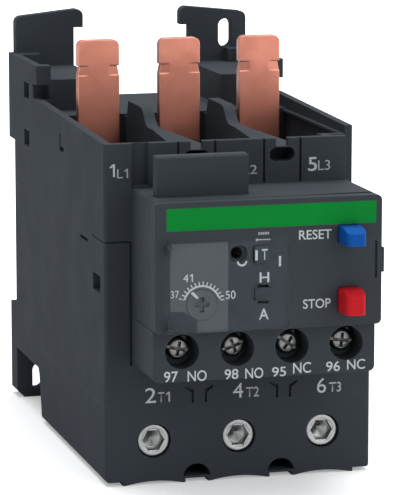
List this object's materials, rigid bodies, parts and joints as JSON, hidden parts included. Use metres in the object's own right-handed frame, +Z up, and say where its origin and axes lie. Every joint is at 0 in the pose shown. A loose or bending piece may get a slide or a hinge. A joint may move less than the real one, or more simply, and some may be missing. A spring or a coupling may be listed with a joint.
{
  "type": "thermal overload relay",
  "caption": "Three-pole thermal overload relay with copper bars that reach up into a contactor, box clamps below and a stepped control module with a current dial, a reset and a stop button.",
  "frame": {"origin": "centre of the bounding box's footprint, on the surface that the relay stands on", "axes": "+X to the right across the poles seen from the front, +Y to the rear mounting face, +Z up along the line bars"},
  "size_m": [0.055, 0.1158, 0.0866],
  "materials": {
    "black_housing": "fine moulded grain",
    "black_controls": "fine moulded grain",
    "grey_plate": "smooth satin",
    "green_band": "printed label, satin",
    "blue_button": "satin",
    "red_button": "satin",
    "clear_plastic": "clear moulded plastic",
    "copper": "bare copper, satin",
    "zinc_steel": "zinc-plated",
    "dark_steel": "zinc-plated, dulled",
    "bimetal": "rolled strip",
    "spring_steel": "drawn wire",
    "white_plastic": "moulded",
    "flag_plastic": "moulded"
  },
  "bodies": {
    "body": {"aux_clamp_plates": "zinc_steel", "aux_terminal_block": "black_controls", "aux_terminal_screws": "dark_steel", "bimetal_strip_1": "bimetal", "bimetal_strip_2": "bimetal", "bimetal_strip_3": "bimetal", "colour_band": "green_band", "control_housing": "black_controls", "front_panel": "black_controls", "heater_strip_1": "bimetal", "heater_strip_2": "bimetal", "heater_strip_3": "bimetal", "lever_pin": "zinc_steel", "line_bar_1": "copper", "line_bar_2": "copper", "line_bar_3": "copper", "load_bar_1": "copper", "load_bar_2": "copper", "load_bar_3": "copper", "marker_plate": "black_controls", "nc_fixed_contacts": "copper", "no_fixed_contacts": "copper", "rear_frame": "black_housing", "reset_spring": "spring_steel", "scale_plate": "grey_plate", "stop_spring": "spring_steel", "terminal_base": "black_housing", "upper_housing": "black_housing"},
    "current_dial": {"current_dial": "grey_plate", "dial_cam": "white_plastic"},
    "reset_button": {"reset_button": "blue_button"},
    "stop_button": {"stop_button": "red_button"},
    "test_slider": {"test_slider": "black_controls"},
    "mode_slider": {"mode_slider": "black_controls"},
    "clear_cover": {"clear_cover": "clear_plastic"},
    "trip_bar": {"trip_bar": "white_plastic"},
    "differential_bar": {"differential_bar": "white_plastic"},
    "compensating_lever": {"compensating_lever": "bimetal"},
    "contact_carrier": {"contact_carrier": "white_plastic", "nc_bridge": "copper", "no_bridge": "copper", "trip_flag": "flag_plastic"},
    "terminal_screw_1": {"terminal_screw_1": "zinc_steel"},
    "terminal_cage_1": {"terminal_cage_1": "zinc_steel"},
    "terminal_screw_2": {"terminal_screw_2": "zinc_steel"},
    "terminal_cage_2": {"terminal_cage_2": "zinc_steel"},
    "terminal_screw_3": {"terminal_screw_3": "zinc_steel"},
    "terminal_cage_3": {"terminal_cage_3": "zinc_steel"}
  },
  "joints": [
    {"name": "dial_turn", "type": "hinge", "parent": "body", "child": "current_dial", "pos_m": [-0.0131, -0.0523, 0.03985], "axis": [0, 1, 0], "range_deg": [-40, 123]},
    {"name": "reset_press", "type": "slide", "parent": "body", "child": "reset_button", "axis": [0, 1, 0], "range_m": [0, 0.0028], "stiffness_N_per_m": 400, "springref_m": -0.001, "deforming": ["reset_spring"]},
    {"name": "stop_press", "type": "slide", "parent": "body", "child": "stop_button", "axis": [0, 1, 0], "range_m": [0, 0.0028], "stiffness_N_per_m": 400, "springref_m": -0.001, "deforming": ["stop_spring"]},
    {"name": "test_slide", "type": "slide", "parent": "body", "child": "test_slider", "axis": [-1, 0, 0], "range_m": [0, 0.0008]},
    {"name": "mode_slide", "type": "slide", "parent": "body", "child": "mode_slider", "axis": [0, 0, -1], "range_m": [-0.0007, 0.0007]},
    {"name": "cover_hinge", "type": "hinge", "parent": "body", "child": "clear_cover", "pos_m": [-0.0198, -0.0534, 0.04325], "axis": [0, 0, -1], "range_deg": [0, 110]},
    {"name": "trip_slide", "type": "slide", "parent": "body", "child": "trip_bar", "axis": [1, 0, 0], "range_m": [0, 0.002]},
    {"name": "differential_slide", "type": "slide", "parent": "body", "child": "differential_bar", "axis": [1, 0, 0], "range_m": [0, 0.002]},
    {"name": "lever_turn", "type": "hinge", "parent": "body", "child": "compensating_lever", "pos_m": [0.0194, -0.0247, 0.0427], "axis": [0, 0, -1], "range_deg": [0, 10]},
    {"name": "carrier_slide", "type": "slide", "parent": "body", "child": "contact_carrier", "axis": [-1, 0, 0], "range_m": [0, 0.0026]},
    {"name": "screw_1_turn", "type": "hinge", "parent": "body", "child": "terminal_screw_1", "pos_m": [-0.0175, -0.0287, 0.0088], "axis": [0, 1, 0], "range_deg": [0, 1260]},
    {"name": "cage_1_slide", "type": "slide", "parent": "body", "child": "terminal_cage_1", "axis": [0, -1, 0], "range_m": [0, 0.0035]},
    {"name": "screw_2_turn", "type": "hinge", "parent": "body", "child": "terminal_screw_2", "pos_m": [0, -0.0287, 0.0088], "axis": [0, 1, 0], "range_deg": [0, 1260]},
    {"name": "cage_2_slide", "type": "slide", "parent": "body", "child": "terminal_cage_2", "axis": [0, -1, 0], "range_m": [0, 0.0035]},
    {"name": "screw_3_turn", "type": "hinge", "parent": "body", "child": "terminal_screw_3", "pos_m": [0.0175, -0.0287, 0.0088], "axis": [0, 1, 0], "range_deg": [0, 1260]},
    {"name": "cage_3_slide", "type": "slide", "parent": "body", "child": "terminal_cage_3", "axis": [0, -1, 0], "range_m": [0, 0.0035]}
  ],
  "couplings": [
    {"joint": "differential_slide", "follows": "trip_slide", "ratio": 1},
    {"joint": "lever_turn", "follows": "trip_slide", "rad_per_m": 87.2},
    {"joint": "carrier_slide", "follows": "trip_slide", "ratio": 1.3},
    {"joint": "screw_1_turn", "follows": "cage_1_slide", "rad_per_m": 6280},
    {"joint": "screw_2_turn", "follows": "cage_2_slide", "rad_per_m": 6280},
    {"joint": "screw_3_turn", "follows": "cage_3_slide", "rad_per_m": 6280}
  ]
}
